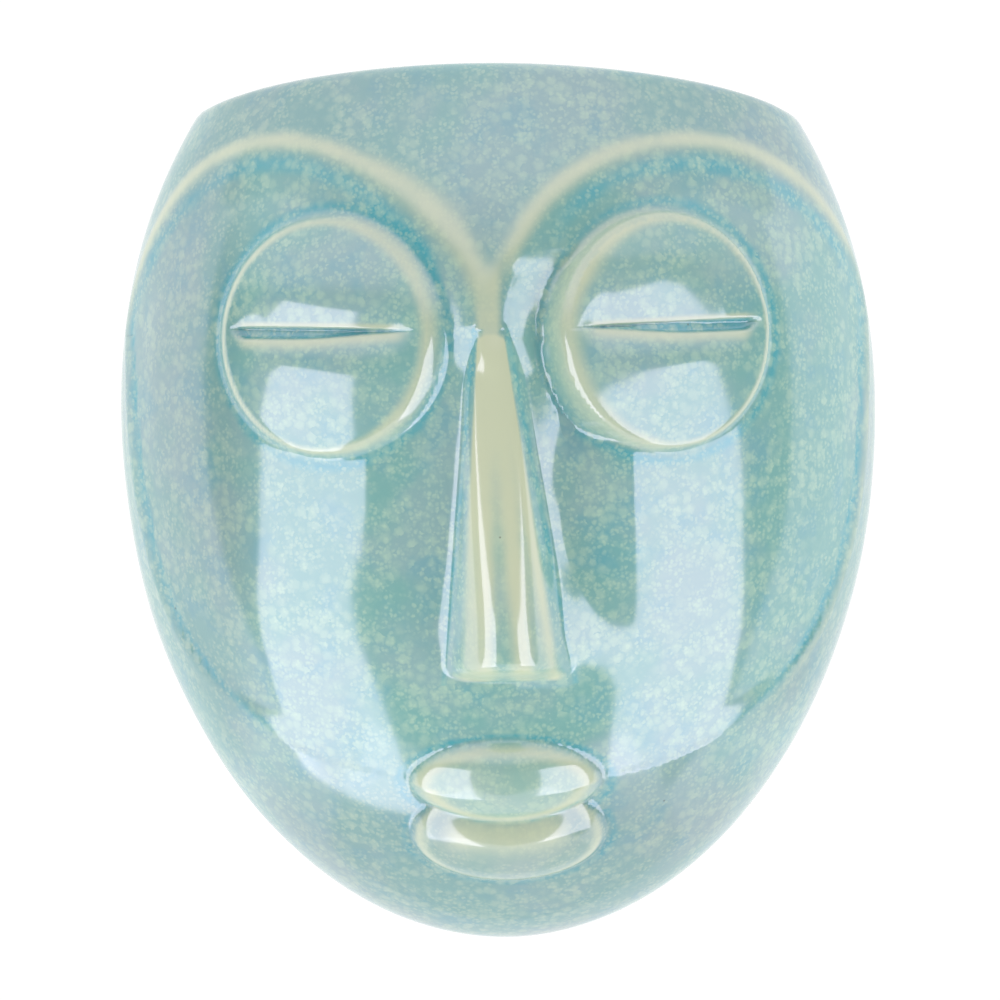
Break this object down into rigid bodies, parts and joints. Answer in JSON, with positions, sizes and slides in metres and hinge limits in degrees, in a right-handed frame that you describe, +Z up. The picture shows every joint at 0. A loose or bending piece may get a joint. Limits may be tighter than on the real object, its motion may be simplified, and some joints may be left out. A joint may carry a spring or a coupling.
{
  "type": "face wall planter",
  "caption": "Glazed ceramic wall pot shaped as a calm stylised mask with closed eyes, open on top and hung by a keyhole on a wall screw.",
  "frame": {"origin": "axis of the hanging screw in the plane of the wall", "axes": "+Z up, +Y into the wall, so the face looks along -Y; +X to the right of someone who faces the mask"},
  "size_m": [0.155, 0.1278, 0.1789],
  "materials": {
    "glaze": "glossy mottled reactive glaze, bare and matt on the flat back",
    "screw": "zinc plated",
    "plug": "moulded nylon",
    "pad": "soft cloudy rubber"
  },
  "bodies": {
    "wall_fixing": {"wall_plug": "plug", "wall_screw": "screw"},
    "pot": {"pot": "glaze", "pad_upper_left": "pad", "pad_upper_right": "pad", "pad_lower_left": "pad", "pad_lower_right": "pad"}
  },
  "joints": [
    {"name": "hang_lift", "type": "slide", "parent": "wall_fixing", "child": "pot", "axis": [0, 0, 1], "range_m": [0, 0.01]}
  ]
}
